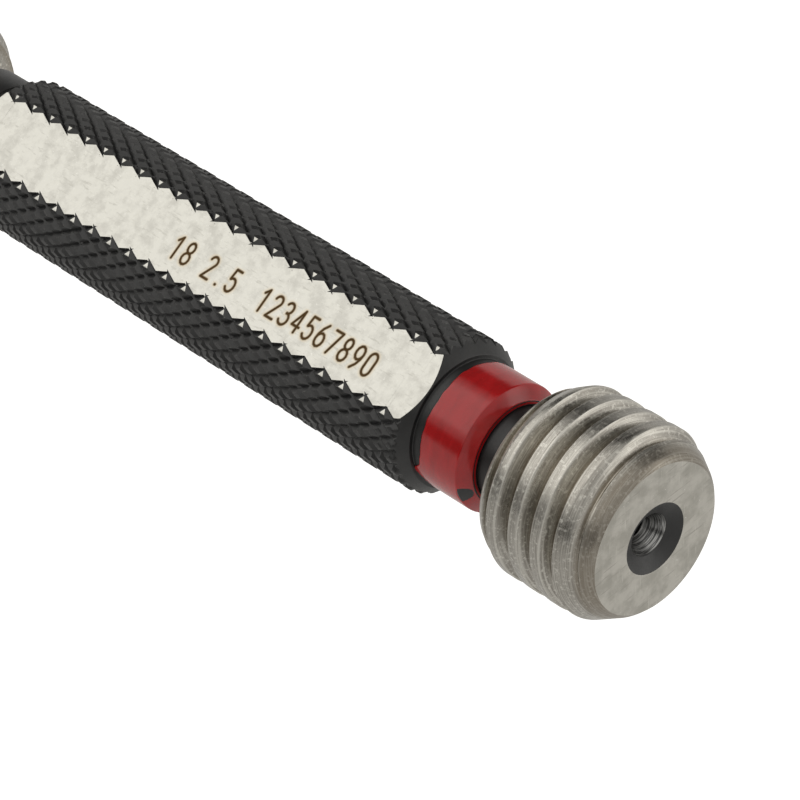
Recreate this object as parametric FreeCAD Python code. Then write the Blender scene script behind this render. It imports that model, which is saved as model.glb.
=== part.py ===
"""Double-ended thread plug gauge for M18 x 2.5 threads, in millimetres.

The gauge stands on the end face of its GO member: +Z runs along the axis to the
NO-GO end, the origin is the centre of the GO face, and the marking flat of the
handle faces -Y.  Three pieces: the turned handle with a taper socket in each
end, and the two threaded members, each driven into its socket by a taper shank.
"""
import FreeCAD, Part
import math
import os

# ---- the thread that is gauged ----
PITCH = 2.5                     # lead of the single-start right-hand thread
FLANK_ANGLE = 30.0              # each flank, from the plane square to the axis
ROOT_LAND = 0.16                # narrow flat at the bottom of the groove
GO_CREST_D = 18.0               # full thread form
GO_CREST_LAND = 0.3125          # flat on a full crest, an eighth of the pitch
NOGO_CREST_D = 17.23            # truncated thread form
NOGO_CREST_LAND = 0.9625        # wide flat left on a truncated crest

# ---- threaded head of each member ----
GO_HEAD_LENGTH = 24.0
GO_FACE_D = 13.9                # end face inside its bevel
GO_CREST_OFFSET = 2.4           # a crest's middle, behind the end face on the flat's side
NOGO_HEAD_LENGTH = 12.2
NOGO_FACE_D = 13.6
NOGO_CREST_OFFSET = 2.86
FACE_BEVEL = 0.45               # 45 degree bevel round each end face
BACK_FACE_D = 15.3              # face of the head towards the neck
CHAMFER_ANGLE = 30.0            # chamfers at both ends of the thread, from the axis

# ---- protected centre hole in each end face ----
CENTRE_RIM_D = 6.46
CENTRE_CONE_D = 3.9
CENTRE_PILOT_D = 2.0
CENTRE_PILOT_DEPTH = 4.6
CENTRE_GUARD_ANGLE = 60.0       # guard countersink, from the axis
CENTRE_CONE_ANGLE = 30.0        # working cone, from the axis
DRILL_POINT_ANGLE = 59.0        # drill points, from the axis

# ---- neck and taper shank of each member ----
NECK_D = 8.6
NECK_LENGTH = 3.8
SHANK_LENGTH = 16.0
SHANK_TAPER = 0.02              # change of diameter for each unit of length
SHANK_END_CHAMFER = 0.6
SOCKET_END_ROOM = 1.5           # free space behind the driven-in shank

# ---- handle ----
GRIP_D = 14.3
GRIP_LENGTH = 60.0              # between the two shoulders
GRIP_BEVEL_LENGTH = 1.12
GRIP_BEVEL_DEPTH = 1.05
FLAT_HEIGHT = 6.19              # marking flat, from the axis
NOSE_D = 11.73
NOSE_LENGTH = 6.18
NOSE_BEVEL_LENGTH = 0.93
NOSE_BEVEL_DEPTH = 1.12
UNDERCUT_WIDTH = 0.9
UNDERCUT_DEPTH = 0.14

# ---- places along the axis, worked out from the sizes ----
GO_NOSE_Z = GO_HEAD_LENGTH + NECK_LENGTH
GO_SHOULDER_Z = GO_NOSE_Z + NOSE_LENGTH
NOGO_SHOULDER_Z = GO_SHOULDER_Z + GRIP_LENGTH
NOGO_NOSE_Z = NOGO_SHOULDER_Z + NOSE_LENGTH
NOGO_FACE_Z = NOGO_NOSE_Z + NECK_LENGTH + NOGO_HEAD_LENGTH

ORIGIN = FreeCAD.Vector(0, 0, 0)
SHANK_END_R = (NECK_D - SHANK_LENGTH * SHANK_TAPER) / 2


def tangent(angle):
    return math.tan(math.radians(angle))


def turned(outline):
    """Solid of revolution about Z of a closed outline of (radius, height) points."""
    points = [FreeCAD.Vector(radius, 0, height) for radius, height in outline]
    face = Part.Face(Part.makePolygon(points + points[:1]))
    return face.revolve(ORIGIN, FreeCAD.Vector(0, 0, 1), 360)


def end_up(shape, height):
    """Raise a shape that was built down from z = 0, so that it hangs from height."""
    raised = shape.copy()
    raised.translate(FreeCAD.Vector(0, 0, height))
    return raised


def end_down(shape, height):
    """Turn such a shape end for end, so that it rises from height."""
    tipped = shape.copy()
    tipped.rotate(ORIGIN, FreeCAD.Vector(0, 1, 0), 180)
    tipped.translate(FreeCAD.Vector(0, 0, height))
    return tipped


def thread_groove(crest_r, crest_land, crest_offset, head_length):
    """Helical V groove of a head whose end face is at z = 0.

    The middle of one crest lies crest_offset behind the face on the -Y side,
    three quarters of a turn round from where the helix starts.
    """
    slope = tangent(FLANK_ANGLE)
    half_opening = (PITCH - crest_land) / 2
    half_root = ROOT_LAND / 2
    root_r = crest_r - (half_opening - half_root) / slope
    clear = (crest_r - root_r) / 3          # the cutter reaches this far out of the crest
    turns = math.ceil(head_length / PITCH) + 2
    start = PITCH * (2 - turns - 0.25) - crest_offset
    section = [(root_r, -half_root), (crest_r + clear, -half_opening - clear * slope),
               (crest_r + clear, half_opening + clear * slope), (root_r, half_root)]
    corners = [FreeCAD.Vector(radius, 0, start + height) for radius, height in section]
    helix = Part.makeLongHelix(PITCH, PITCH * turns, root_r, 0)
    helix.translate(FreeCAD.Vector(0, 0, start))
    sweep = Part.BRepOffsetAPI.MakePipeShell(Part.Wire(helix.Edges))
    sweep.setFrenetMode(True)
    sweep.add(Part.makePolygon(corners + corners[:1]))
    sweep.build()
    sweep.makeSolid()
    return sweep.shape()


def centre_hole():
    """Protected centre hole, sunk down from z = 0."""
    rim = CENTRE_RIM_D / 2
    cone = CENTRE_CONE_D / 2
    pilot = CENTRE_PILOT_D / 2
    guard_bottom = -(rim - cone) / tangent(CENTRE_GUARD_ANGLE)
    cone_bottom = guard_bottom - (cone - pilot) / tangent(CENTRE_CONE_ANGLE)
    tip = -CENTRE_PILOT_DEPTH - pilot / tangent(DRILL_POINT_ANGLE)
    return turned([(0, 0), (rim, 0), (cone, guard_bottom), (pilot, cone_bottom),
                   (pilot, -CENTRE_PILOT_DEPTH), (0, tip)])


def member(crest_d, crest_land, crest_offset, face_d, head_length):
    """Threaded head, neck and taper shank in one piece, down from its end face at z = 0."""
    crest = crest_d / 2
    face = face_d / 2
    bevel = face + FACE_BEVEL
    back = BACK_FACE_D / 2
    neck = NECK_D / 2
    lead_end = -FACE_BEVEL - (crest - bevel) / tangent(CHAMFER_ANGLE)
    back_start = -head_length + (crest - back) / tangent(CHAMFER_ANGLE)
    shank_start = -head_length - NECK_LENGTH
    shank_end = shank_start - SHANK_LENGTH
    chamfer_r = SHANK_END_R + SHANK_END_CHAMFER * SHANK_TAPER / 2
    body = turned([(0, 0), (face, 0), (bevel, -FACE_BEVEL), (crest, lead_end),
                   (crest, back_start), (back, -head_length), (neck, -head_length),
                   (neck, shank_start), (chamfer_r, shank_end + SHANK_END_CHAMFER),
                   (chamfer_r - SHANK_END_CHAMFER, shank_end), (0, shank_end)])
    body = body.cut(centre_hole())
    return body.cut(thread_groove(crest, crest_land, crest_offset, head_length))


def socket():
    """Taper socket, sunk down from z = 0 to take a member's shank."""
    room = SHANK_LENGTH + SOCKET_END_ROOM
    tip = room + SHANK_END_R / tangent(DRILL_POINT_ANGLE)
    return turned([(0, 0), (NECK_D / 2, 0), (SHANK_END_R, -SHANK_LENGTH),
                   (SHANK_END_R, -room), (0, -tip)])


def handle():
    """Grip with its marking flat, and at each end a shoulder and a socketed nose."""
    grip = GRIP_D / 2
    nose = NOSE_D / 2
    end = [(grip, -GRIP_BEVEL_LENGTH), (grip - GRIP_BEVEL_DEPTH, 0),
           (nose - UNDERCUT_DEPTH, 0), (nose - UNDERCUT_DEPTH, UNDERCUT_WIDTH),
           (nose, UNDERCUT_WIDTH), (nose, NOSE_LENGTH - NOSE_BEVEL_LENGTH),
           (nose - NOSE_BEVEL_DEPTH, NOSE_LENGTH)]
    upper = [(radius, NOGO_SHOULDER_Z + height) for radius, height in end]
    lower = [(radius, GO_SHOULDER_Z - height) for radius, height in reversed(end)]
    body = turned([(0, GO_NOSE_Z)] + lower + upper + [(0, NOGO_NOSE_Z)])
    body = body.cut(end_up(socket(), NOGO_NOSE_Z))
    body = body.cut(end_down(socket(), GO_NOSE_Z))
    waste = Part.makeBox(GRIP_D, GRIP_D, NOGO_NOSE_Z)
    waste.translate(FreeCAD.Vector(-grip, -FLAT_HEIGHT - GRIP_D, 0))
    return body.cut(waste)


go = member(GO_CREST_D, GO_CREST_LAND, GO_CREST_OFFSET, GO_FACE_D, GO_HEAD_LENGTH)
nogo = member(NOGO_CREST_D, NOGO_CREST_LAND, NOGO_CREST_OFFSET, NOGO_FACE_D, NOGO_HEAD_LENGTH)
nodes = {
    "handle": handle(),
    "go_member": end_down(go, 0),
    "nogo_member": end_up(nogo, NOGO_FACE_Z),
}

os.makedirs("parts", exist_ok=True)
for name, shape in nodes.items():
    shape.exportStep("parts/" + name + ".step")
    print(name, len(shape.Solids), shape.isValid(), round(shape.Volume, 2))
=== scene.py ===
"""Looks of the double-ended thread plug gauge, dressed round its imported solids.

Lengths are in millimetres and are brought to metres when a mesh is made.
Angles round the gauge start at the marking flat (-Y) and grow towards +X.
"""
import math

import bmesh
import bpy
import numpy as np
from mathutils import Matrix, Vector


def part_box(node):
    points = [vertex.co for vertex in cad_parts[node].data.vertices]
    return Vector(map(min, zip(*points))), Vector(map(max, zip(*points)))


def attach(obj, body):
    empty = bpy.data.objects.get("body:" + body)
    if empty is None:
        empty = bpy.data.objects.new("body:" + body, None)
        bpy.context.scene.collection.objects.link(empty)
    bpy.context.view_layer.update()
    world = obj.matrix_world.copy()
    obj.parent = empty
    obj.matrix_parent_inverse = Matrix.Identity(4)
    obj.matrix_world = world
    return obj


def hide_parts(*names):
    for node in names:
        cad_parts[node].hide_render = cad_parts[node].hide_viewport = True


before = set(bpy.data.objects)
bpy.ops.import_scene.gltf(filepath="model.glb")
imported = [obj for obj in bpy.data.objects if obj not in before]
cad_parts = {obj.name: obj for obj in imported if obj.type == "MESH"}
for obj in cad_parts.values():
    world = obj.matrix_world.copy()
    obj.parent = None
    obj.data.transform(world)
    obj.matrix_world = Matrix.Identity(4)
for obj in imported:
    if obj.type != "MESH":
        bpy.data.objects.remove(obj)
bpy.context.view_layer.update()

MM = 0.001

# ---- places read from the solids ----
NOGO_FACE_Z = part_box("nogo_member")[1].z / MM
GO_FACE_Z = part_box("go_member")[0].z / MM
GO_NOSE_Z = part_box("handle")[0].z / MM
NOGO_NOSE_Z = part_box("handle")[1].z / MM
GRIP_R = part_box("handle")[1].x / MM
FLAT_HEIGHT = -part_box("handle")[0].y / MM

# ---- thread and heads ----
PITCH = 2.5
FLANK_ANGLE = 30.0
ROOT_LAND = 0.16
FACE_BEVEL = 0.45
BACK_FACE_R = 7.65
CHAMFER_ANGLE = 30.0
EDGE_ROUND = 0.05              # blend of the thread's worn edges
HEADS = {
    "go_member": dict(crest_r=9.0, crest_land=0.3125, crest_offset=2.4, face_r=6.95, length=24.0),
    "nogo_member": dict(crest_r=8.615, crest_land=0.9625, crest_offset=2.86, face_r=6.8, length=12.2),
}
CENTRE_RIM_R = 3.23
CENTRE_CONE_R = 1.95
CENTRE_PILOT_R = 1.0
CENTRE_PILOT_DEPTH = 4.6
GUARD_ANGLE = 60.0             # from the axis, as the next two are
CONE_ANGLE = 30.0
DRILL_ANGLE = 59.0
GUARD_DEPTH = (CENTRE_RIM_R - CENTRE_CONE_R) / math.tan(math.radians(GUARD_ANGLE))
CONE_DEPTH = GUARD_DEPTH + (CENTRE_CONE_R - CENTRE_PILOT_R) / math.tan(math.radians(CONE_ANGLE))
PILOT_TIP = CENTRE_PILOT_DEPTH + CENTRE_PILOT_R / math.tan(math.radians(DRILL_ANGLE))
NECK_R = 4.3
NECK_LENGTH = 3.8
SHANK_LENGTH = 16.0
SHANK_END_R = 4.14
SHANK_END_CHAMFER = 0.6
SOCKET_END_ROOM = 1.5
SOCKET_POINT = 2.4             # drill point at the bottom of each socket
HOLE_ROUND = 0.06              # worn corners of the centre holes
TURNED_ROUND = 0.12            # and of the necks, the shanks and the handle's ends

# ---- handle ----
GRIP_BEVEL_LENGTH = 1.12
GRIP_BEVEL_DEPTH = 1.05
NOSE_R = 5.865
NOSE_LENGTH = 6.18
NOSE_BEVEL_LENGTH = 0.93
NOSE_BEVEL_DEPTH = 1.12
UNDERCUT_WIDTH = 0.9
UNDERCUT_DEPTH = 0.14
GO_SHOULDER_Z = GO_NOSE_Z + NOSE_LENGTH
NOGO_SHOULDER_Z = NOGO_NOSE_Z - NOSE_LENGTH
LACQUER = 0.05                 # thickness of the red coat
LACQUER_ROUND = 0.25           # how softly it runs over the nose's corners
LACQUER_SHELL = 2.5            # depth of the closed shell, in thicknesses of the coat
LACQUER_LAP = 0.06             # how far its rear edge stays in front of the undercut on average
RUN_ANGLE = 72.0               # where it has run back across the undercut
RUN_HALF_WIDTH = 7.0
RUN_LENGTH = 0.95

# ---- diamond knurl of the grip ----
KNURL_TEETH = 30
KNURL_LEAD = 2.535             # along the axis, from one ridge to the next of the same hand
KNURL_DEPTH = 0.387
KNURL_STEPS = 10               # mesh steps in one tooth
KNURL_TOOTH = 360.0 / KNURL_TEETH
KNURL_ROW_ANGLE = 31.1         # a row of diamonds beside the flat
KNURL_ROW_Z = NOGO_FACE_Z - 24.88
KNURL_FAR_TURN = -2.4          # offset of the pattern on the other side of the flat
KNURL_FAR_RISE = 0.86
KNURL_TOP_SHARE = 0.3          # from a groove's middle to the diamond's flat top, in teeth
KNURL_END = 0.7                # the knurled stretch ends this far inside the shoulders
KNURL_FINE_ROWS = 12           # rows at each end that are split in three


# =============================== mesh helpers ===============================

def on_cylinder(angle, radius, height):
    """Points r sin a, -r cos a, h, for angles in radians."""
    return np.stack(np.broadcast_arrays(radius * np.sin(angle), -radius * np.cos(angle), height), -1)


def soft_min(a, b, blend):
    """The lesser of a and b, rounded by a parabola where they are within `blend` of each other."""
    share = np.clip(0.5 + 0.5 * (b - a) / blend, 0, 1)
    return b + (a - b) * share - blend * share * (1 - share)


def smooth_step(value, low, high):
    """0 below low, 1 above high, and 3t^2 - 2t^3 between them."""
    t = np.clip((value - low) / (high - low), 0, 1)
    return t * t * (3 - 2 * t)


def rounded(profile, radius, steps=4):
    """An open outline of (r, z) points, each inner corner rounded by a parabola that starts and ends
    where an arc of that radius would, as far as the sides are long enough."""
    points = [np.array(p, float) for p in profile]
    made = [points[0]]
    for before, corner, after in zip(points, points[1:], points[2:]):
        to_before = before - corner
        to_after = after - corner
        longest = 0.45 * min(np.linalg.norm(to_before), np.linalg.norm(to_after))
        to_before = to_before / np.linalg.norm(to_before)
        to_after = to_after / np.linalg.norm(to_after)
        half = math.acos(np.clip(to_before @ to_after, -1, 1)) / 2
        reach = min(radius / math.tan(half), longest)
        start = corner + to_before * reach
        stop = corner + to_after * reach
        for share in np.linspace(0, 1, steps):
            made.append((1 - share) ** 2 * start + 2 * share * (1 - share) * corner + share ** 2 * stop)
    made.append(points[-1])
    return np.array(made)


def rings(profile, angles):
    """Grid of radii and heights for an outline turned round the axis: one row for each point."""
    radius = np.repeat(profile[:, :1], len(angles), axis=1)
    height = np.repeat(profile[:, 1:], len(angles), axis=1)
    return radius, height


def solid_mesh(name, grids, materials, sharp_angle=32.0):
    """One mesh of grids, each with points (rows, columns, 3), finish (rows, columns, 4), a material
    index for each band of cells and, if wanted, which cells are split the other way.

    Each cell becomes two triangles.  Points that coincide are welded, which closes seams and poles,
    and triangles that lose a side by it are dropped.
    """
    points = np.concatenate([g["points"].reshape(-1, 3) for g in grids])
    finish = np.concatenate([g["finish"].reshape(-1, 4) for g in grids])
    triangles = []
    indices = []
    first = 0
    for g in grids:
        rows, columns = g["points"].shape[:2]
        corner = first + np.arange(rows * columns).reshape(rows, columns)
        a, b, c, d = corner[:-1, :-1], corner[:-1, 1:], corner[1:, 1:], corner[1:, :-1]
        other = g.get("other_way", np.zeros(a.shape, bool))[..., None]
        lower = np.where(other, np.stack([a, b, d], -1), np.stack([a, b, c], -1))
        upper = np.where(other, np.stack([b, c, d], -1), np.stack([a, c, d], -1))
        band = np.broadcast_to(np.asarray(g["material"]).reshape(-1, 1), a.shape)
        triangles += [lower.reshape(-1, 3), upper.reshape(-1, 3)]
        indices += [band.ravel(), band.ravel()]
        first += rows * columns
    triangles = np.concatenate(triangles)
    indices = np.concatenate(indices)
    _, kept, welded = np.unique(np.round(points / 1e-5).astype(np.int64), axis=0,
                                return_index=True, return_inverse=True)
    corners = welded.reshape(-1)[triangles]
    whole = ((corners[:, 0] != corners[:, 1]) & (corners[:, 1] != corners[:, 2])
             & (corners[:, 2] != corners[:, 0]))
    triangles, corners, indices = triangles[whole], corners[whole], indices[whole]
    mesh = bpy.data.meshes.new(name)
    mesh.vertices.add(len(kept))
    mesh.vertices.foreach_set("co", (points[kept] * MM).ravel())
    mesh.loops.add(corners.size)
    mesh.loops.foreach_set("vertex_index", corners.ravel().astype(np.int32))
    mesh.polygons.add(len(corners))
    mesh.polygons.foreach_set("loop_start", np.arange(0, corners.size, 3, dtype=np.int32))
    mesh.polygons.foreach_set("material_index", indices.astype(np.int32))
    layer = mesh.color_attributes.new("finish", "FLOAT_COLOR", "CORNER")
    layer.data.foreach_set("color", finish[triangles].ravel())
    mesh.update(calc_edges=True)
    mesh.validate()
    for material in materials:
        mesh.materials.append(material)
    shade(mesh, sharp_angle)
    made = bpy.data.objects.new(name, mesh)
    bpy.context.scene.collection.objects.link(made)
    return made


def shade(mesh, sharp_angle):
    """Smooth shading, with edges sharper than that angle left crisp."""
    mesh.shade_smooth()
    mesh.set_sharp_from_angle(angle=math.radians(sharp_angle))


def finish_grid(shape, lines=0.0, wear=0.0, halo_and_root_shade=0.0):
    """What a point carries for its material: line position; wear on the knurl and a painted highlight on the
    thread's crest edges; the laser's halo on the flat and a painted shade in the thread's roots; then an
    unused fourth.
    """
    parts = np.broadcast_arrays(lines, wear, halo_and_root_shade, np.zeros(shape))
    return np.stack([np.broadcast_to(p, shape) for p in parts], -1)


# =============================== node helpers ===============================

class Nodes:
    """An emptied node tree, with short calls for the nodes that are used most."""

    def __init__(self, tree):
        self.tree = tree
        self.tree.nodes.clear()

    def feed(self, socket, value):
        """Links a socket to another node's output, or sets its value."""
        if isinstance(value, bpy.types.NodeSocket):
            self.tree.links.new(value, socket)
        else:
            socket.default_value = value

    def add(self, kind, inputs=None, **settings):
        """A new node with those settings and inputs."""
        made = self.tree.nodes.new("ShaderNode" + kind)
        for key, value in settings.items():
            setattr(made, key, value)
        for key, value in (inputs or {}).items():
            self.feed(made.inputs[key], value)
        return made

    def math(self, operation, a, b=0.0):
        return self.add("Math", {0: a, 1: b}, operation=operation).outputs[0]

    def fit(self, value, low, high, to_low=0.0, to_high=1.0):
        """Carries low..high to to_low..to_high in a smooth step, held at both ends."""
        return self.add("MapRange", {"Value": value, "From Min": low, "From Max": high,
                                     "To Min": to_low, "To Max": to_high},
                        interpolation_type="SMOOTHSTEP").outputs[0]


class Finish(Nodes):
    """A material made of nodes, with what the finishes have in common: the place in millimetres and
    the three numbers of finish_grid, of which each finish uses what it needs in its own way."""

    def __init__(self, name):
        self.material = bpy.data.materials.new(name)
        self.material.use_nodes = True
        super().__init__(self.material.node_tree)
        self.output = self.add("OutputMaterial")
        place = self.add("TexCoord").outputs["Object"]
        self.place = self.add("VectorMath", {0: place, 3: 1 / MM}, operation="SCALE").outputs["Vector"]
        data = self.add("Attribute", attribute_name="finish").outputs["Vector"]
        self.lines, self.wear, self.halo_and_root_shade = self.add("SeparateXYZ", {0: data}).outputs

    def noise(self, place, scale, detail=3.0, rough=0.55, w=None):
        inputs = {"Vector": place, "Scale": scale, "Detail": detail, "Roughness": rough}
        if w is not None:
            inputs["W"] = w
        return self.add("TexNoise", inputs, noise_dimensions="3D" if w is None else "4D").outputs[0]

    def mix(self, share, a, b):
        """Colour a where share is 0, and b where it is 1."""
        made = self.add("Mix", {0: share}, data_type="RGBA")
        for socket, colour in ((made.inputs[6], a), (made.inputs[7], b)):
            self.feed(socket, (*colour, 1.0) if isinstance(colour, tuple) else colour)
        return made.outputs[2]

    def stretched(self, factors, place=None):
        """The place, scaled by three factors."""
        inputs = {0: place or self.place, 1: factors}
        return self.add("VectorMath", inputs, operation="MULTIPLY").outputs["Vector"]

    def turned(self, degrees):
        """The place, turned round the axis by that angle."""
        return self.add("VectorRotate", {"Vector": self.place, "Angle": math.radians(degrees)},
                        rotation_type="Z_AXIS").outputs[0]

    def bump(self, height, depth):
        """Surface relief of that depth in millimetres."""
        inputs = {"Height": height, "Distance": depth * MM, "Strength": 1.0}
        return self.add("Bump", inputs).outputs[0]

    def principled(self, **inputs):
        """Finishes the material with one surface shader; _ stands for a space in its input names."""
        shader = self.add("BsdfPrincipled", {k.replace("_", " "): v for k, v in inputs.items()})
        self.tree.links.new(shader.outputs[0], self.output.inputs[0])
        return self.material


STEEL = (0.56, 0.54, 0.49)
STEEL_DARK = (0.30, 0.28, 0.25)
STEEL_PALE = (0.70, 0.68, 0.62)


def ground_thread_steel():
    """Ground thread: fine lines along the helix, specks, a painted highlight of pale colour along the crests'
    edges, and a painted shade of brown deeper in the roots.
    """
    f = Finish("ground_thread_steel")
    place = f.add("SeparateXYZ", {0: f.place}).outputs
    along = f.add("CombineXYZ", {0: f.math("MULTIPLY", place[0], 0.12),
                                 1: f.math("MULTIPLY", place[1], 0.12),
                                 2: f.math("MULTIPLY", f.lines, 9.0)}).outputs[0]
    turn = f.math("MULTIPLY", place[2], 0.35)
    lines = f.noise(along, 1.6, detail=3.0, rough=0.7, w=turn)
    specks = f.noise(f.place, 3.2, detail=3.0, rough=0.65)
    cloud = f.noise(f.place, 0.55, detail=3.0)
    colour = f.mix(f.fit(lines, 0.38, 0.66), STEEL_DARK, STEEL)
    colour = f.mix(f.fit(specks, 0.50, 0.72), colour, STEEL_PALE)
    # painted shade: brown, stronger deeper in the grooves towards the roots
    colour = f.mix(f.fit(f.halo_and_root_shade, 0.55, 1.0, 0.0, 0.5), colour, (0.22, 0.18, 0.13))
    # painted highlight: the crests' edges made paler in colour
    colour = f.mix(f.fit(f.wear, 0.2, 1.0, 0.0, 0.6), colour, STEEL_PALE)
    rough = f.math("ADD", f.fit(cloud, 0.3, 0.7, 0.26, 0.36), f.fit(specks, 0.45, 0.7, 0.0, 0.12))
    relief = f.math("ADD", f.math("MULTIPLY", lines, 0.6), f.math("MULTIPLY", specks, 0.4))
    tangent = f.add("Tangent", direction_type="RADIAL", axis="Z").outputs[0]
    return f.principled(Base_Color=colour, Metallic=1.0, Roughness=rough, Anisotropic=0.45,
                        Tangent=tangent, Normal=f.bump(relief, 0.006))


def lapped_face_steel():
    """End face: a dull grey lap with crossing dark and pale scratches and pale nicks."""
    f = Finish("lapped_face_steel")
    cloud = f.noise(f.place, 0.6, detail=4.0, rough=0.6)
    specks = f.noise(f.place, 5.0, detail=2.0, rough=0.7)
    scratch_a = f.noise(f.stretched((0.35, 6.0, 1.0), f.turned(28)), 1.1, detail=2.0)
    scratch_b = f.noise(f.stretched((0.3, 5.0, 1.0), f.turned(-52)), 1.3, detail=2.0)
    colour = f.mix(f.fit(cloud, 0.35, 0.65), (0.44, 0.425, 0.38), (0.58, 0.56, 0.51))
    colour = f.mix(f.fit(scratch_a, 0.60, 0.72, 0.0, 0.5), colour, STEEL_DARK)
    colour = f.mix(f.fit(scratch_b, 0.62, 0.74, 0.0, 0.6), colour, STEEL_PALE)
    colour = f.mix(f.fit(specks, 0.68, 0.76, 0.0, 0.8), colour, (0.85, 0.84, 0.80))
    rough = f.fit(cloud, 0.3, 0.7, 0.34, 0.46)
    relief = f.math("ADD", scratch_a, f.math("ADD", scratch_b, specks))
    return f.principled(Base_Color=colour, Metallic=1.0, Roughness=rough, Normal=f.bump(relief, 0.008))


def black_oxide(name="black_oxide", grey=0.007, rough=0.36):
    """Blackened steel: near black, satin and a little cloudy, with bare worn edges."""
    f = Finish(name)
    grain = f.noise(f.place, 7.0, detail=3.0, rough=0.6)
    cloud = f.noise(f.place, 0.8, detail=3.0)
    deep = (grey * 0.7, grey * 0.7, grey * 0.72)
    pale = (grey * 1.5, grey * 1.45, grey * 1.4)
    colour = f.mix(f.fit(cloud, 0.35, 0.7), deep, pale)
    worn = f.math("MULTIPLY", f.fit(f.wear, 0.35, 1.0), f.fit(grain, 0.5, 0.75))
    colour = f.mix(worn, colour, (0.16, 0.155, 0.145))
    satin = f.fit(grain, 0.3, 0.7, rough, rough + 0.12)
    return f.principled(Base_Color=colour, Metallic=0.0, Roughness=satin, Specular_IOR_Level=0.6,
                        Normal=f.bump(grain, 0.004))


def centre_cone_steel():
    """Working cone of the centre hole: bare steel with turning rings."""
    f = Finish("centre_cone_steel")
    rings_seen = f.noise(f.stretched((0.4, 0.4, 9.0)), 1.2, detail=2.0)
    colour = f.mix(f.fit(rings_seen, 0.4, 0.62), (0.10, 0.10, 0.10), (0.46, 0.46, 0.45))
    return f.principled(Base_Color=colour, Metallic=1.0, Roughness=0.28, Normal=f.bump(rings_seen, 0.01))


def milled_flat_steel():
    """Marking flat: pale bright steel with blotches, streaks and specks.  On the marked strips the
    lines are the laser's brown ink, and the film is the warm halo round it."""
    f = Finish("milled_flat_steel")
    blotch = f.noise(f.place, 0.75, detail=4.0, rough=0.65)
    specks = f.noise(f.place, 4.0, detail=3.0, rough=0.7)
    streaks = f.noise(f.stretched((2.6, 1.0, 0.5)), 1.4, detail=3.0, rough=0.65)
    colour = f.mix(f.fit(blotch, 0.30, 0.62), (0.50, 0.49, 0.45), (0.66, 0.65, 0.60))
    colour = f.mix(f.fit(streaks, 0.56, 0.72, 0.0, 0.6), colour, (0.42, 0.41, 0.37))
    colour = f.mix(f.fit(specks, 0.60, 0.74, 0.0, 0.6), colour, (0.80, 0.79, 0.75))
    colour = f.mix(f.fit(f.halo_and_root_shade, 0.0, 1.0, 0.0, 0.5), colour, (0.60, 0.48, 0.30))
    colour = f.mix(f.lines, colour, (0.085, 0.050, 0.020))
    rough = f.math("ADD", f.fit(blotch, 0.3, 0.7, 0.34, 0.44), f.math("MULTIPLY", f.lines, 0.2))
    relief = f.math("ADD", streaks, specks)
    return f.principled(Base_Color=colour, Metallic=1.0, Roughness=rough, Normal=f.bump(relief, 0.006))


def red_lacquer_coat():
    """Red lacquer, brushed on: glossy, with a faint waviness and a little dust."""
    f = Finish("red_lacquer_coat")
    wave = f.noise(f.stretched((0.5, 0.5, 1.2)), 0.9, detail=2.0)
    dust = f.noise(f.place, 9.0, detail=2.0)
    colour = f.mix(f.fit(wave, 0.3, 0.7), (0.36, 0.006, 0.007), (0.45, 0.008, 0.010))
    colour = f.mix(f.fit(dust, 0.68, 0.8, 0.0, 0.25), colour, (0.45, 0.20, 0.18))
    return f.principled(Base_Color=colour, Roughness=0.13, Specular_IOR_Level=0.6,
                        Normal=f.bump(f.math("ADD", wave, f.math("MULTIPLY", dust, 0.1)), 0.02))


# ============================= threaded members =============================

def crest_steps(head, land_rows, edge_rows, flank_rows, root_rows):
    """Places across one pitch, from one crest's middle to the next, close together at the edges."""
    half_land = head["crest_land"] / 2
    near = EDGE_ROUND * 1.2
    root = PITCH / 2 - ROOT_LAND / 2 - near
    half = np.concatenate([
        np.linspace(0, half_land - near, land_rows, endpoint=False),
        np.linspace(half_land - near, half_land + near, edge_rows, endpoint=False),
        np.linspace(half_land + near, root, flank_rows, endpoint=False),
        np.linspace(root, PITCH / 2, root_rows)])
    return np.concatenate([half, PITCH - half[-2:0:-1]])


def thread_radius(head, across):
    """Radius at a distance across the thread, wrapped each pitch about a crest's middle: the crest
    land, then a flank that falls by 1 / tan(flank angle), down to the root."""
    off = np.abs((across / PITCH + 0.5) % 1 - 0.5) * PITCH
    slope = math.tan(math.radians(FLANK_ANGLE))
    root_r = head["crest_r"] - ((PITCH - head["crest_land"] - ROOT_LAND) / 2) / slope
    flank = head["crest_r"] - (off - head["crest_land"] / 2) / slope
    return -soft_min(-soft_min(head["crest_r"], flank, EDGE_ROUND / slope), -root_r, EDGE_ROUND)


def envelope(head, depth):
    """Radius that the bevel and the two chamfers of a head leave at a depth behind its end face.
    Each is a straight line, and the least of them counts."""
    slope = math.tan(math.radians(CHAMFER_ANGLE))
    bevel = head["face_r"] + depth
    lead = head["face_r"] + FACE_BEVEL + (depth - FACE_BEVEL) * slope
    back = BACK_FACE_R + (head["length"] - depth) * slope
    return soft_min(soft_min(bevel, lead, EDGE_ROUND), back, EDGE_ROUND)


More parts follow.
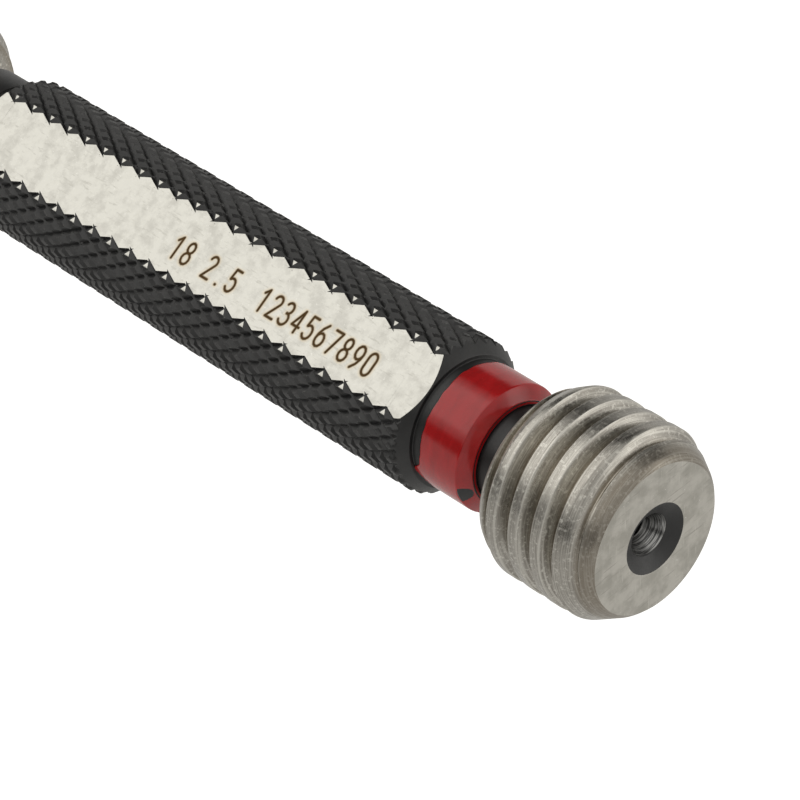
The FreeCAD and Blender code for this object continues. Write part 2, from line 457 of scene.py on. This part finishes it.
def threaded_member(name, side, columns, rows):
    """Surface of a member from the bottom of its centre hole, over the head, to the shank's end.

    The thread's rows run along the helix: at angle a they lie at w + side * pitch * a / 2 pi behind
    the end face, held between the two ends of the head.
    """
    head = HEADS[name]
    face_z = GO_FACE_Z if side > 0 else NOGO_FACE_Z
    angles = np.linspace(-math.pi, math.pi, columns + 1)
    lean = side * PITCH * angles / (2 * math.pi)
    steps = crest_steps(head, *rows)
    turns = np.arange(-2, math.ceil(head["length"] / PITCH) + 2)
    across = (turns[:, None] * PITCH + steps).ravel()
    depth = np.clip(across[:, None] + head["crest_offset"] + lean, 0, head["length"])
    lead_height = head["crest_r"] - head["face_r"] - FACE_BEVEL
    lead_end = FACE_BEVEL + lead_height / math.tan(math.radians(CHAMFER_ANGLE))
    for corner in (FACE_BEVEL, lead_end):
        nearest = np.abs(depth - corner).argmin(0)
        depth[nearest, np.arange(columns + 1)] = corner
    phase = depth - head["crest_offset"] - lean
    thread = thread_radius(head, phase)
    radius = soft_min(thread, envelope(head, depth), EDGE_ROUND)
    off = np.abs((phase / PITCH + 0.5) % 1 - 0.5) * PITCH
    # painted highlight: a pale band along each edge of the crest, near the crest's radius
    wear = (np.exp(-((off - head["crest_land"] / 2) / 0.07) ** 2)
            * smooth_step(radius, head["crest_r"] - 0.3, head["crest_r"] - 0.1))
    # painted shade: grows with depth below the crest, towards the roots
    halo_and_root_shade = np.clip((head["crest_r"] - radius) / 1.2, 0, 1)
    lines = (phase / PITCH % 1) * PITCH

    hole = [(0, PILOT_TIP), (CENTRE_PILOT_R, CENTRE_PILOT_DEPTH), (CENTRE_PILOT_R, CONE_DEPTH),
            (CENTRE_CONE_R, GUARD_DEPTH), (CENTRE_RIM_R, 0), (CENTRE_RIM_R + 0.5, 0)]
    hole = rounded(hole, HOLE_ROUND)
    face = np.array([(r, 0.0) for r in np.linspace(hole[-1, 0], head["face_r"], 8)])[1:-1]
    front = np.concatenate([hole, face])
    neck_z = head["length"] + NECK_LENGTH
    back = rounded([(NECK_R + 1.6, head["length"]), (NECK_R, head["length"]), (NECK_R, neck_z),
                    (SHANK_END_R, neck_z + SHANK_LENGTH - SHANK_END_CHAMFER),
                    (SHANK_END_R - SHANK_END_CHAMFER, neck_z + SHANK_LENGTH),
                    (0, neck_z + SHANK_LENGTH)], TURNED_ROUND)
    front_r, front_t = rings(front, angles)
    back_r, back_t = rings(back, angles)
    radius = np.concatenate([front_r, radius, back_r])
    depth = np.concatenate([front_t, depth, back_t])
    wear = np.concatenate([np.zeros_like(front_r), wear, np.zeros_like(back_r)])
    halo_and_root_shade = np.concatenate([np.zeros_like(front_r), halo_and_root_shade, np.zeros_like(back_r)])
    lines = np.concatenate([front_r, lines, back_t])

    thread_band, face_band, oxide_band, cone_band = range(4)
    band = np.full(len(radius) - 1, thread_band)
    in_hole = front[:-1, 1] > 0.01
    cone = in_hole & (front[:-1, 0] < CENTRE_CONE_R - 0.01) & (front[:-1, 1] < CENTRE_PILOT_DEPTH)
    band[:len(front)] = face_band
    band[:len(front) - 1][in_hole] = oxide_band
    band[:len(front) - 1][cone] = cone_band
    band[len(radius) - len(back):] = oxide_band
    points = on_cylinder(angles, radius, face_z + side * depth)
    finish = finish_grid(radius.shape, lines, wear, halo_and_root_shade)
    if side < 0:
        points, finish, band = points[::-1], finish[::-1], band[::-1]
    grid = dict(points=points, finish=finish, material=band)
    return solid_mesh(name + "_dressed", [grid], [THREAD_STEEL, FACE_STEEL, OXIDE, CONE_STEEL])


# ================================== handle ==================================

def far_side(degrees):
    """1 on the side of the flat towards -X, 0 on the other, changing smoothly under the flat's cut
    and again over the back."""
    under_flat = 1 - smooth_step(degrees, -20, 20)
    back_left = (1 - smooth_step(degrees, -180, -90)) / 2
    back_right = smooth_step(degrees, 90, 180) / 2
    return under_flat - back_left + back_right


def grip_bevel(height):
    """Radius of the bevelled ends of the grip at a height."""
    into = GRIP_BEVEL_LENGTH + np.maximum(GO_SHOULDER_Z - height, height - NOGO_SHOULDER_Z)
    return GRIP_R - np.maximum(into, 0) * GRIP_BEVEL_DEPTH / GRIP_BEVEL_LENGTH


def knurl_grid():
    """Knurled stretch of the grip.

    Two families of V grooves cross it.  With u = a / tooth and v = z / lead, they lie where u + v or
    u - v is half way between whole numbers, and their depth falls off at 45 degrees to the flat
    tops of the diamonds.  The mesh steps fall on those lines.
    """
    step = KNURL_LEAD / KNURL_STEPS
    columns = np.arange(-KNURL_TEETH * KNURL_STEPS // 2, KNURL_TEETH * KNURL_STEPS // 2 + 1)
    base = columns * KNURL_TOOTH / KNURL_STEPS
    part_step = (KNURL_ROW_ANGLE / KNURL_TOOTH * KNURL_STEPS) % 1
    base = base + part_step * KNURL_TOOTH / KNURL_STEPS
    far = far_side((base + 180) % 360 - 180)
    angle = base + KNURL_FAR_TURN * far
    low = GO_SHOULDER_Z + KNURL_END
    high = NOGO_SHOULDER_Z - KNURL_END
    first = math.floor((low - KNURL_ROW_Z - KNURL_FAR_RISE) / step) - 1
    last = math.ceil((high - KNURL_ROW_Z) / step) + 1
    rows = np.arange(first, last + 1).astype(float)
    fine = np.concatenate([np.arange(first, first + KNURL_FINE_ROWS, 1 / 3),
                           rows[KNURL_FINE_ROWS:-KNURL_FINE_ROWS],
                           np.arange(last - KNURL_FINE_ROWS + 1, last + 0.01, 1 / 3)])
    height = KNURL_ROW_Z + fine[:, None] * step + KNURL_FAR_RISE * far
    height = np.clip(height, low, high)
    u = (base - KNURL_ROW_ANGLE) / KNURL_TOOTH
    v = (height - KNURL_ROW_Z - KNURL_FAR_RISE * far) / KNURL_LEAD
    groove_u = np.abs((u + v) % 1 - 0.5)
    groove_v = np.abs((u - v) % 1 - 0.5)
    nearest = np.minimum(groove_u, groove_v)
    depth = np.clip(KNURL_DEPTH * (1 - nearest / KNURL_TOP_SHARE), 0, None)
    radius = np.minimum(GRIP_R - depth, grip_bevel(height))
    along_u = groove_u[:-1, :-1] + groove_u[1:, 1:]
    along_v = groove_v[:-1, 1:] + groove_v[1:, :-1]
    wear = np.clip(1 - np.abs(nearest - KNURL_TOP_SHARE) / 0.1, 0, 1) * (grip_bevel(height) > GRIP_R - depth)
    return np.radians(angle), radius, height, along_u < along_v, wear


def handle_piece():
    """Handle: socket, nose and shoulder at each end, turned; the knurled stretch between them; then
    the marking flat, cut by a plane and closed."""
    angles, radius, height, other, wear = knurl_grid()
    knurl_end_r = GRIP_R - (GRIP_BEVEL_LENGTH - KNURL_END) / GRIP_BEVEL_LENGTH * GRIP_BEVEL_DEPTH
    socket_z = NOSE_LENGTH - SHANK_LENGTH - SOCKET_END_ROOM
    end = [(knurl_end_r, -KNURL_END), (GRIP_R - GRIP_BEVEL_DEPTH, 0), (NOSE_R - UNDERCUT_DEPTH, 0),
           (NOSE_R - UNDERCUT_DEPTH, UNDERCUT_WIDTH), (NOSE_R, UNDERCUT_WIDTH),
           (NOSE_R, NOSE_LENGTH - NOSE_BEVEL_LENGTH), (NOSE_R - NOSE_BEVEL_DEPTH, NOSE_LENGTH),
           (NECK_R, NOSE_LENGTH), (SHANK_END_R, socket_z), (0, socket_z - SOCKET_POINT)]
    plain = rounded(end, TURNED_ROUND)
    coated = [(r - LACQUER if UNDERCUT_WIDTH < z < NOSE_LENGTH - 0.01 and r > NECK_R + 0.1 else r, z)
              for r, z in plain]
    top = np.array(coated) + (0, NOGO_SHOULDER_Z)
    bottom = plain[::-1] * (1, -1) + (0, GO_SHOULDER_Z)
    low_r, low_z = rings(bottom, angles)
    top_r, top_z = rings(top, angles)
    radius = np.concatenate([low_r, radius, top_r])
    height = np.concatenate([low_z, height, top_z])
    wear = np.concatenate([np.zeros_like(low_r), wear, np.zeros_like(top_r)])
    way = np.zeros((len(radius) - 1, len(angles) - 1), bool)
    way[len(bottom):len(bottom) + len(other)] = other
    grid = dict(points=on_cylinder(angles, radius, height), other_way=way,
                finish=finish_grid(radius.shape, 0.0, wear), material=np.zeros(len(radius) - 1, int))
    made = solid_mesh("handle_dressed", [grid], [KNURL_OXIDE, FLAT_STEEL])
    cut_flat(made.data)
    return made


def cut_flat(mesh):
    """Cuts the mesh by the plane of the marking flat and closes the openings with bare steel."""
    work = bmesh.new()
    work.from_mesh(mesh)
    everything = work.verts[:] + work.edges[:] + work.faces[:]
    bmesh.ops.bisect_plane(work, geom=everything, dist=1e-9, plane_co=(0, -FLAT_HEIGHT * MM, 0),
                           plane_no=(0, -1, 0), clear_outer=True)
    rim = [edge for edge in work.edges if edge.is_boundary]
    filled = bmesh.ops.triangle_fill(work, edges=rim, use_beauty=False, normal=(0, -1, 0))
    for face in filled["geom"]:
        if isinstance(face, bmesh.types.BMFace):
            face.material_index = 1
            face.smooth = True
            if face.normal.y > 0:
                face.normal_flip()
    finish = work.loops.layers.float_color["finish"]
    for face in work.faces:
        if face.material_index == 1:
            for loop in face.loops:
                loop[finish] = (0, 0, 0, 0)
    work.to_mesh(mesh)
    work.free()
    shade(mesh, 32.0)


def lacquer_piece():
    """Red coat on the NO-GO nose: a thin closed shell.  Its rear edge wanders by a sum of four sines
    round the nose, and runs back across the undercut in one place as a bell curve."""
    angles = np.linspace(-math.pi, math.pi, 361)
    wander = (0.05 * np.sin(3 * angles + 0.6) + 0.04 * np.sin(7 * angles + 2.0)
              + 0.025 * np.sin(17 * angles) + 0.02 * np.sin(29 * angles + 1.0))
    run = np.exp(-((np.degrees(angles) - RUN_ANGLE) / RUN_HALF_WIDTH) ** 2)
    edge = UNDERCUT_WIDTH + LACQUER_LAP + wander - RUN_LENGTH * run
    coat_length = NOSE_LENGTH - UNDERCUT_WIDTH
    tip_r = NOSE_R - NOSE_BEVEL_DEPTH
    outline = rounded([(NOSE_R - 0.02, 0.0), (NOSE_R, 0.08), (NOSE_R, coat_length - NOSE_BEVEL_LENGTH),
                       (tip_r + 0.05, coat_length - 0.06), (tip_r - 0.15, coat_length + 0.02)],
                      LACQUER_ROUND, steps=7)
    spread = np.concatenate([outline[:1], outline])
    rows = len(spread)
    share = spread[:, 1:] / spread[-1, 1]
    height = edge + (NOSE_LENGTH + 0.02 - edge) * share
    radius = np.repeat(spread[:, :1], len(angles), axis=1)
    radius[0] = NOSE_R - UNDERCUT_DEPTH - 0.02
    inside_z = height[::-1]
    inside_r = radius[::-1] - LACQUER_SHELL * LACQUER
    points = on_cylinder(angles, np.concatenate([radius, inside_r, radius[:1]]),
                         NOGO_SHOULDER_Z + np.concatenate([height, inside_z, height[:1]]))
    grid = dict(points=points, finish=finish_grid(points.shape[:2]),
                material=np.zeros(2 * rows, int))
    return solid_mesh("red_lacquer", [grid], [RED_LACQUER], sharp_angle=50.0)


# ================================= marking ==================================

def arc(x, y, rx, ry, start, stop):
    """Points of an ellipse's arc, by angles in degrees."""
    t = np.radians(np.linspace(start, stop, 13))
    return list(zip(x + rx * np.cos(t), y + ry * np.sin(t)))


SIX = [arc(0.18, 0.26, 0.18, 0.26, 0, 360), [(0.0, 0.28), (0.02, 0.46), (0.10, 0.68), (0.25, 0.88)]]
DIGITS = {                      # strokes of each figure, from its lower left corner
    "0": [arc(0.18, 0.64, 0.18, 0.24, 0, 180) + arc(0.18, 0.24, 0.18, 0.24, 180, 360) + [(0.36, 0.64)]],
    "1": [[(0.06, 0.70), (0.22, 0.88), (0.22, 0.0)]],
    "2": [arc(0.18, 0.68, 0.17, 0.20, 165, -25) + [(0.0, 0.0), (0.36, 0.0)]],
    "3": [arc(0.16, 0.67, 0.17, 0.21, 150, -90), arc(0.16, 0.24, 0.20, 0.24, 90, -155)],
    "4": [[(0.26, 0.0), (0.26, 0.88), (0.0, 0.24), (0.36, 0.24)]],
    "5": [[(0.33, 0.88), (0.06, 0.88), (0.03, 0.48)] + arc(0.17, 0.27, 0.19, 0.27, 130, -150)],
    "6": SIX,
    "7": [[(0.0, 0.88), (0.36, 0.88), (0.12, 0.0)]],
    "8": [arc(0.18, 0.67, 0.155, 0.21, 0, 360), arc(0.18, 0.23, 0.18, 0.23, 0, 360)],
    "9": [[(0.36 - x, 0.88 - y) for x, y in stroke] for stroke in SIX],
    ".": [[(0.17, 0.0), (0.19, 0.0)]],
    " ": [],
}
CAP = 0.88                      # height of those figures
DIGIT_HEIGHT = 2.36
DIGIT_ADVANCE = 1.48
STROKE_HALF = 0.13
STROKE_EDGE_IN = 0.06           # a stroke's soft edge starts this far inside its half width
STROKE_EDGE_OUT = 0.07          # and ends this far outside it
HALO = 0.32                     # reach of the warm tint round a stroke
MARK_STEP = 0.05
MARK_MARGIN = 0.5
MARK_ABOVE = 0.012              # the strip's face above the flat
MARK_UNDER = 0.05               # and its foot below it
MARK_BASE_X = 1.70
NUMBERS_BACK = 42.6             # from the NO-GO face back to the first figure
THREAD_SIZE_BACK = 54.0


def strokes_of(text):
    """Segments (x0, y0, x1, y1) in millimetres of the figures of a text, along its base line."""
    segments = []
    scale = DIGIT_HEIGHT - 2 * STROKE_HALF
    for place, figure in enumerate(text):
        for stroke in DIGITS[figure]:
            line = np.array(stroke) * scale / CAP + (place * DIGIT_ADVANCE, 0)
            segments.append(np.hstack([line[:-1], line[1:]]))
    return np.concatenate(segments)


def distance_to(segments, x, y):
    """Least distance from each point of a grid to the segments."""
    nearest = np.full(x.shape, 9.0)
    for x0, y0, x1, y1 in segments:
        run = max((x1 - x0) ** 2 + (y1 - y0) ** 2, 1e-9)
        share = np.clip(((x - x0) * (x1 - x0) + (y - y0) * (y1 - y0)) / run, 0, 1)
        nearest = np.minimum(nearest, np.hypot(x - x0 - share * (x1 - x0), y - y0 - share * (y1 - y0)))
    return nearest


def marking_piece(name, text, start_z):
    """A strip of the flat that carries laser-marked figures: they read towards +Z, tops to -X, and
    are sunk into the strip within half a stroke's width of each stroke's middle."""
    segments = strokes_of(text)
    length = (len(text) - 1) * DIGIT_ADVANCE + DIGIT_HEIGHT * 0.45
    along = np.arange(-MARK_MARGIN, length + MARK_MARGIN, MARK_STEP)
    up = np.arange(-MARK_MARGIN, DIGIT_HEIGHT - 2 * STROKE_HALF + MARK_MARGIN, MARK_STEP)
    x, y = np.meshgrid(along, up)
    distance = distance_to(segments, x, y)
    ink = 1 - smooth_step(distance, STROKE_HALF - STROKE_EDGE_IN, STROKE_HALF + STROKE_EDGE_OUT)
    inside = np.minimum.reduce([x - along[0], along[-1] - x, y - up[0], up[-1] - y])
    glow = np.exp(-(distance / HALO) ** 2) * smooth_step(inside, 0, 0.3)
    sunk = -FLAT_HEIGHT - MARK_ABOVE * smooth_step(inside, 0, 0.2) * (1 - 0.8 * ink)
    top = np.stack([MARK_BASE_X - y, sunk, start_z + x], -1)
    foot = (0, MARK_UNDER - FLAT_HEIGHT, 0)
    skirt = np.concatenate([top[:1] * (1, 0, 1) + foot, top, top[-1:] * (1, 0, 1) + foot])
    sides = np.concatenate([skirt[:, :1] * (1, 0, 1) + foot, skirt, skirt[:, -1:] * (1, 0, 1) + foot], axis=1)
    pad = ((1, 1), (1, 1))
    finish = finish_grid(sides.shape[:2], np.pad(ink, pad), 0.0, np.pad(glow, pad))
    bottom = sides[[0, -1]][:, [0, -1]][::-1]
    grids = [dict(points=sides, finish=finish, material=np.zeros(sides.shape[0] - 1, int)),
             dict(points=bottom, finish=finish_grid((2, 2)), material=np.zeros(1, int))]
    return solid_mesh(name, grids, [FLAT_STEEL])


# =============================== stage and view ==============================

TENT_LEVEL = 0.62
TENT_COLOUR = (1.0, 0.985, 0.95, 1.0)
# compass angle, half width and softness; low and high edge and softness; strength
PANELS = [
    (-11, 33, 14, -75, 20, 16, 1.35),
    (46, 12, 12, -75, 55, 16, 0.08),
    (-75, 20, 14, -75, 20, 16, 0.06),
    (-115, 35, 20, 30, 75, 16, 1.5),
]


def degrees_of(n, radians):
    """That angle in degrees."""
    return n.math("MULTIPLY", radians, 180 / math.pi)


def within(n, off, half, soft):
    """1 where a signed distance stays within half, and 0 outside, over a soft edge."""
    return n.fit(n.math("ABSOLUTE", off), half + soft / 2, half - soft / 2)


def world_light():
    """A pale studio tent: an even grey all round with soft panels and darker gaps, placed by compass
    angle and height above the horizon in degrees.  The camera sees plain white."""
    world = bpy.data.worlds.new("studio")
    world.use_nodes = True
    n = Nodes(world.node_tree)
    way = n.add("TexCoord").outputs["Generated"]
    x, y, z = n.add("SeparateXYZ", {0: way}).outputs
    compass = degrees_of(n, n.math("ARCTAN2", x, n.math("MULTIPLY", y, -1.0)))
    height = degrees_of(n, n.math("ARCSINE", z))
    level = TENT_LEVEL
    for middle, half, soft, low, high, high_soft, strength in PANELS:
        turned_off = n.math("ADD", compass, -middle)
        turned_off = n.add("Math", {0: turned_off, 1: 180.0, 2: -180.0}, operation="WRAP").outputs[0]
        raised_off = n.math("ADD", height, -(low + high) / 2)
        mask = n.math("MULTIPLY", within(n, turned_off, half, soft),
                      within(n, raised_off, (high - low) / 2, high_soft))
        level = n.add("Mix", {0: mask, 2: level, 3: strength}).outputs[0]
    rays = n.add("LightPath").outputs
    seen = n.add("Mix", {0: rays["Is Camera Ray"], 2: level, 3: 1.0}).outputs[0]
    background = n.add("Background", {"Color": TENT_COLOUR, "Strength": seen})
    n.add("OutputWorld", {0: background.outputs[0]})
    bpy.context.scene.world = world


FLOOR_HALF = 3.0               # metres


def stage_floor():
    """Plain pale floor under the gauge."""
    mesh = bpy.data.meshes.new("floor")
    half = FLOOR_HALF
    mesh.from_pydata([(-half, -half, 0), (half, -half, 0), (half, half, 0), (-half, half, 0)], [],
                     [(0, 1, 2, 3)])
    f = Finish("pale_floor")
    seen = f.math("MULTIPLY", f.add("LightPath").outputs["Is Camera Ray"], 0.6)
    glow = f.add("Emission", {"Color": (1, 1, 1, 1), "Strength": seen})
    paint = f.add("BsdfDiffuse", {"Color": (0.8, 0.8, 0.8, 1)})
    both = f.add("AddShader", {0: glow.outputs[0], 1: paint.outputs[0]})
    f.tree.links.new(both.outputs[0], f.output.inputs[0])
    mesh.materials.append(f.material)
    floor = bpy.data.objects.new("floor", mesh)
    bpy.context.scene.collection.objects.link(floor)
    floor.visible_glossy = False


CAMERA_AIM = (1.21, 0.12, NOGO_FACE_Z - 28.99)
CAMERA_DISTANCE = 327.24
CAMERA_AZIMUTH = 5.53          # degrees, from -Y towards +X
CAMERA_ELEVATION = 37.42
CAMERA_ROLL = 121.58
CAMERA_LENS = 175.69           # on a sensor 36 mm wide


def place_camera():
    """Camera looking down at the NO-GO end, rolled so that the gauge lies across the view."""
    azimuth = math.radians(CAMERA_AZIMUTH)
    elevation = math.radians(CAMERA_ELEVATION)
    aim = Vector(CAMERA_AIM) * MM
    distance = CAMERA_DISTANCE * MM
    back = Vector((math.sin(azimuth) * math.cos(elevation), -math.cos(azimuth) * math.cos(elevation),
                   math.sin(elevation)))
    right = Vector((math.cos(azimuth), math.sin(azimuth), 0))
    right = Matrix.Rotation(math.radians(CAMERA_ROLL), 3, back) @ right
    up = back.cross(right)
    data = bpy.data.cameras.new("camera")
    data.lens = CAMERA_LENS
    data.sensor_width = 36.0
    data.clip_start = 0.01
    camera = bpy.data.objects.new("camera", data)
    bpy.context.scene.collection.objects.link(camera)
    camera.matrix_world = (Matrix.Translation(aim + back * distance)
                           @ Matrix((right, up, back)).transposed().to_4x4())
    bpy.context.scene.camera = camera


# =================================== build ===================================

place_camera()
world_light()
stage_floor()
THREAD_STEEL = ground_thread_steel()
FACE_STEEL = lapped_face_steel()
OXIDE = black_oxide()
KNURL_OXIDE = black_oxide("knurl_oxide", grey=0.008, rough=0.36)
CONE_STEEL = centre_cone_steel()
FLAT_STEEL = milled_flat_steel()
RED_LACQUER = red_lacquer_coat()

nogo = threaded_member("nogo_member", -1, 360, (4, 4, 6, 4))
go = threaded_member("go_member", 1, 320, (2, 3, 5, 3))
handle = handle_piece()
lacquer = lacquer_piece()
numbers = marking_piece("marked_numbers", "1234567890", NOGO_FACE_Z - NUMBERS_BACK)
thread_size = marking_piece("marked_thread_size", "18 2.5", NOGO_FACE_Z - THREAD_SIZE_BACK)

for piece, node, slot in ((nogo, "nogo_member", "ground_steel"), (go, "go_member", "ground_steel"),
                          (handle, "handle", "blackened_steel")):
    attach(piece, "root")
    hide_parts(node)
for piece in (lacquer, numbers, thread_size):
    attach(piece, "root")

bpy.context.scene.view_settings.view_transform = "Standard"
